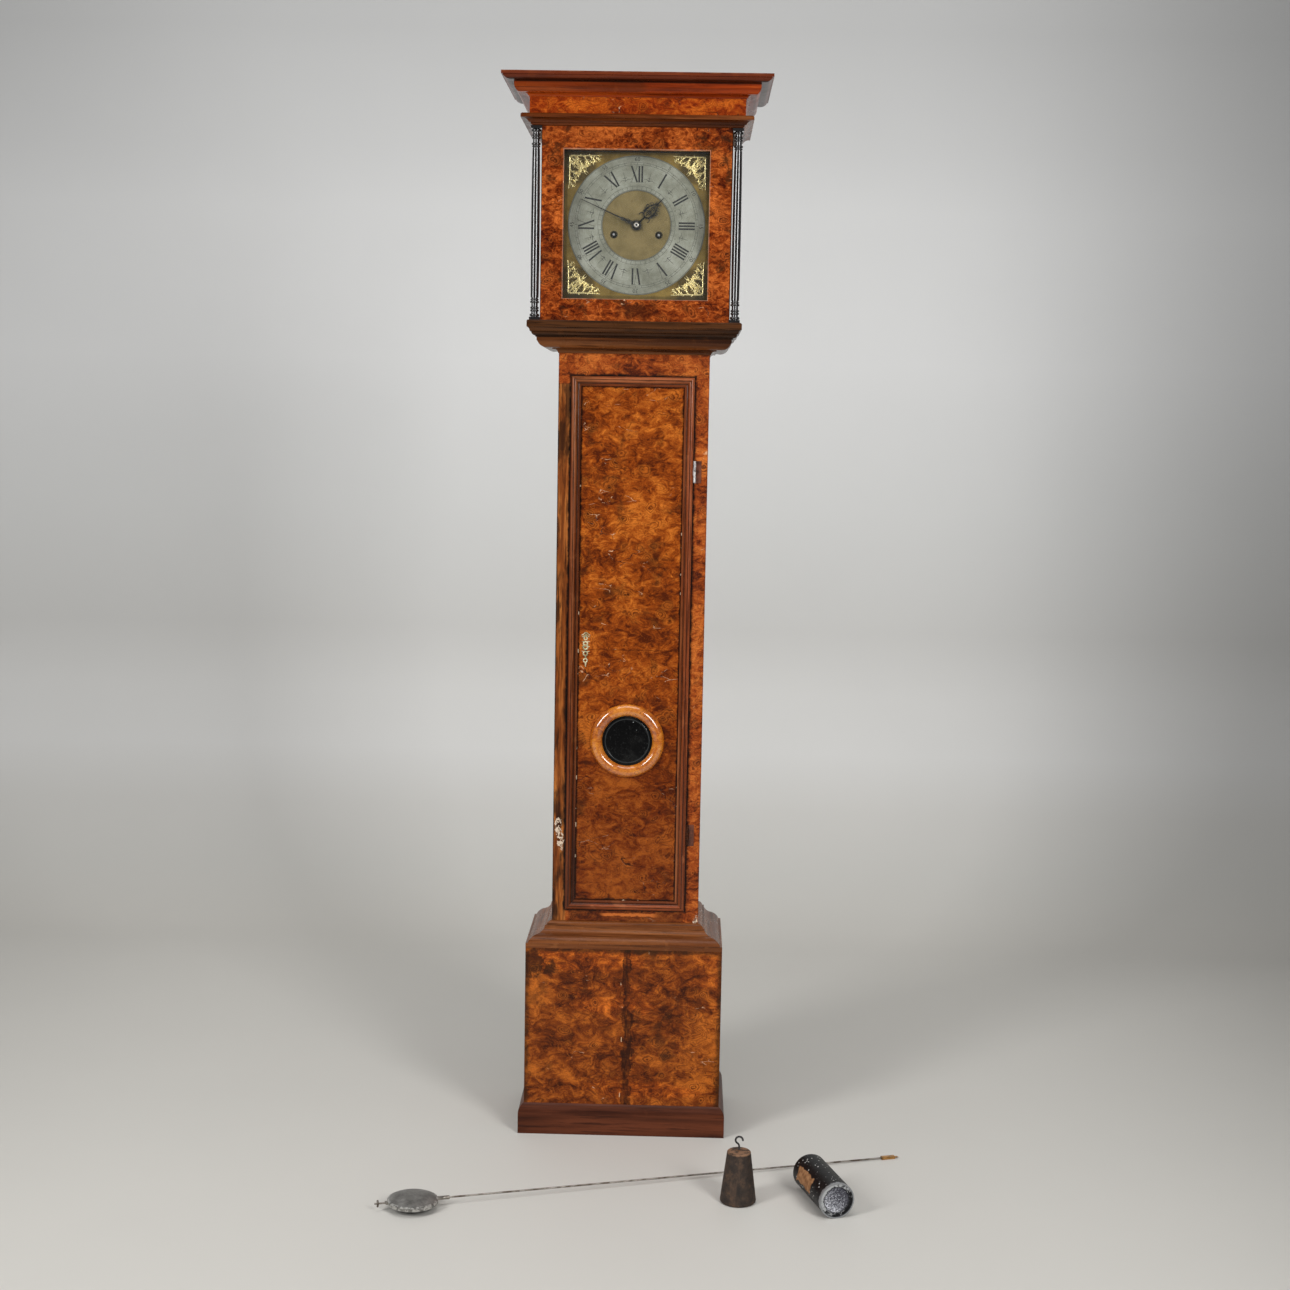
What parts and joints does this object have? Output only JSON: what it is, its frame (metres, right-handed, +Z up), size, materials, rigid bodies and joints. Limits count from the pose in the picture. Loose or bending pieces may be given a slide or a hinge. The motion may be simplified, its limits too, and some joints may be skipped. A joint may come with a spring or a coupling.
{
  "type": "longcase clock",
  "caption": "Tall veneered floor clock with a square brass dial behind a glazed hood door, a round window in the trunk door, and its pendulum and weights laid out in front.",
  "frame": {"origin": "middle of the clock's underside, where it stands on the floor", "axes": "+Z up, the clock's front faces -Y, +X to the right as seen from the front"},
  "size_m": [0.9575, 0.655, 2.03],
  "materials": {
    "walnut_moulding": "polished dark walnut moulding",
    "walnut_burl": "polished burr walnut veneer",
    "walnut_veneer": "polished straight-grained walnut veneer",
    "ebonised": "black polished turned wood",
    "oak": "plain dull carcass wood",
    "brass_dial": "matted and lacquered dial brass",
    "brass_cast": "chased and polished cast brass",
    "brass_movement": "satin wheel brass",
    "silvered": "silvered brass with filled engraving",
    "blued_steel": "dark blued steel",
    "steel": "dull steel",
    "brass_fitting": "aged brass fitting",
    "bell_metal": "dull bell metal",
    "lead": "dull grey cast lead",
    "rusty_iron": "rusty dark cast iron",
    "black_tin": "worn black varnished case with a lead filling",
    "clear_glass": "clear window glass",
    "dark_glass": "dark lenticle glass"
  },
  "bodies": {
    "case": {"plinth_moulding": "walnut_moulding", "base_front_panel": "walnut_burl", "base_carcass": "walnut_veneer", "backboard": "oak", "trunk_side_boards": "walnut_veneer", "trunk_front_frame": "walnut_veneer", "base_top_moulding": "walnut_moulding", "throat_moulding": "walnut_moulding", "hood_runners": "oak", "seat_board": "oak", "trunk_hinge_frame_leaves": "steel", "dial_plate": "brass_dial", "chapter_ring": "silvered", "spandrels": "brass_cast", "movement_plates": "brass_movement", "movement_pillars": "brass_movement", "bell": "bell_metal", "bell_stand": "steel"},
    "trunk_door": {"trunk_door_panel": "walnut_burl", "trunk_door_moulding": "walnut_moulding", "lenticle_ring": "walnut_burl", "lenticle_glass": "dark_glass", "escutcheon": "brass_fitting", "lock_case": "steel", "trunk_hinge_door_leaves": "steel"},
    "bolt": {"lock_bolt": "steel"},
    "hood": {"cornice_moulding": "walnut_moulding", "frieze": "walnut_burl", "architrave_moulding": "walnut_moulding", "hood_top_boards": "oak", "hood_frame": "walnut_veneer", "hood_side_glass": "clear_glass", "hood_base_moulding": "walnut_moulding", "dial_mask": "ebonised"},
    "hood_door": {"hood_door_frame": "walnut_burl", "hood_door_glass": "clear_glass", "hood_columns": "ebonised"},
    "minute_train": {"centre_wheel": "brass_movement", "cannon_wheel": "brass_movement", "minute_hand": "blued_steel"},
    "hour_train": {"hour_wheel": "brass_movement", "hour_hand": "blued_steel"},
    "minute_wheel": {"minute_wheel": "brass_movement"},
    "going_barrel": {"going_barrel": "brass_movement"},
    "third_wheel": {"third_wheel": "brass_movement"},
    "escape_wheel": {"escape_wheel": "brass_movement"},
    "anchor": {"anchor": "steel"},
    "strike_barrel": {"strike_barrel": "brass_movement", "count_wheel": "brass_movement"},
    "pin_wheel": {"pin_wheel": "brass_movement"},
    "hoop_wheel": {"hoop_wheel": "brass_movement"},
    "warning_wheel": {"warning_wheel": "brass_movement"},
    "fly": {"fly": "brass_movement"},
    "hammer": {"hammer": "steel"},
    "pendulum": {"pendulum_rod": "steel", "pendulum_bob": "lead", "suspension_block": "brass_fitting"},
    "rating_nut": {"rating_nut": "steel"},
    "conical_weight": {"conical_weight": "rusty_iron"},
    "cylinder_weight": {"cylinder_weight": "black_tin"}
  },
  "joints": [
    {"name": "trunk_door_hinge", "type": "hinge", "parent": "case", "child": "trunk_door", "pos_m": [0.1193, -0.064, 0.947], "axis": [0, 0, 1], "range_deg": [0, 100]},
    {"name": "lock_bolt_slide", "type": "slide", "parent": "trunk_door", "child": "bolt", "axis": [-1, 0, 0], "range_m": [0, 0.008]},
    {"name": "hood_slide", "type": "slide", "parent": "case", "child": "hood", "axis": [0, -1, 0], "range_m": [0, 0.26]},
    {"name": "hood_door_hinge", "type": "hinge", "parent": "hood", "child": "hood_door", "pos_m": [0.1885, -0.10425, 1.761], "axis": [0, 0, 1], "range_deg": [0, 95]},
    {"name": "minute_hand_turn", "type": "hinge", "parent": "case", "child": "minute_train", "pos_m": [0, 0, 1.764], "axis": [0, 1, 0], "continuous": true},
    {"name": "hour_hand_turn", "type": "hinge", "parent": "case", "child": "hour_train", "pos_m": [0, 0, 1.764], "axis": [0, 1, 0], "continuous": true},
    {"name": "minute_wheel_turn", "type": "hinge", "parent": "case", "child": "minute_wheel", "pos_m": [0, 0, 1.737], "axis": [0, 1, 0], "continuous": true},
    {"name": "going_barrel_turn", "type": "hinge", "parent": "case", "child": "going_barrel", "pos_m": [0.0425, 0, 1.7465], "axis": [0, 1, 0], "continuous": true},
    {"name": "third_wheel_turn", "type": "hinge", "parent": "case", "child": "third_wheel", "pos_m": [0.0156, 0, 1.78628], "axis": [0, 1, 0], "continuous": true},
    {"name": "escape_wheel_turn", "type": "hinge", "parent": "case", "child": "escape_wheel", "pos_m": [0.00604, 0, 1.80786], "axis": [0, 1, 0], "continuous": true},
    {"name": "anchor_swing", "type": "hinge", "parent": "case", "child": "anchor", "pos_m": [0.00604, 0, 1.83536], "axis": [0, 1, 0], "range_deg": [-3, 3]},
    {"name": "warning_wheel_turn", "type": "hinge", "parent": "case", "child": "warning_wheel", "pos_m": [-0.038, 0, 1.81221], "axis": [0, 1, 0], "continuous": true},
    {"name": "fly_turn", "type": "hinge", "parent": "case", "child": "fly", "pos_m": [-0.04998, 0, 1.82398], "axis": [0, 1, 0], "continuous": true},
    {"name": "hoop_wheel_turn", "type": "hinge", "parent": "case", "child": "hoop_wheel", "pos_m": [-0.02063, 0, 1.80132], "axis": [0, 1, 0], "continuous": true},
    {"name": "pin_wheel_turn", "type": "hinge", "parent": "case", "child": "pin_wheel", "pos_m": [-0.03801, 0, 1.78534], "axis": [0, 1, 0], "continuous": true},
    {"name": "strike_barrel_turn", "type": "hinge", "parent": "case", "child": "strike_barrel", "pos_m": [-0.0425, 0, 1.7465], "axis": [0, 1, 0], "continuous": true},
    {"name": "hammer_swing", "type": "hinge", "parent": "case", "child": "hammer", "pos_m": [-0.066, 0, 1.794], "axis": [0, -1, 0], "range_deg": [0, 8], "stiffness_Nm_per_rad": 0.1, "springref_deg": -11.46},
    {"name": "pendulum_lift", "type": "slide", "parent": "case", "child": "pendulum", "axis": [0, 0, 1], "range_m": [0, 0.3]},
    {"name": "rating_nut_turn", "type": "hinge", "parent": "pendulum", "child": "rating_nut", "pos_m": [-0.4151, -0.51154, 0.01478], "axis": [0.9494, 0.314, -0.0122], "continuous": true},
    {"name": "conical_weight_lift", "type": "slide", "parent": "case", "child": "conical_weight", "axis": [0, 0, 1], "range_m": [0, 0.3]},
    {"name": "cylinder_weight_lift", "type": "slide", "parent": "case", "child": "cylinder_weight", "axis": [0, 0, 1], "range_m": [0, 0.3]}
  ],
  "couplings": [
    {"joint": "hour_hand_turn", "follows": "minute_hand_turn", "ratio": 0.083333},
    {"joint": "minute_wheel_turn", "follows": "minute_hand_turn", "ratio": -1},
    {"joint": "going_barrel_turn", "follows": "minute_hand_turn", "ratio": -0.083333},
    {"joint": "third_wheel_turn", "follows": "minute_hand_turn", "ratio": -7.5},
    {"joint": "escape_wheel_turn", "follows": "minute_hand_turn", "ratio": 60},
    {"joint": "fly_turn", "follows": "warning_wheel_turn", "ratio": -7},
    {"joint": "hoop_wheel_turn", "follows": "warning_wheel_turn", "ratio": -0.125},
    {"joint": "pin_wheel_turn", "follows": "warning_wheel_turn", "ratio": 0.015625},
    {"joint": "strike_barrel_turn", "follows": "warning_wheel_turn", "ratio": -0.0016026}
  ]
}
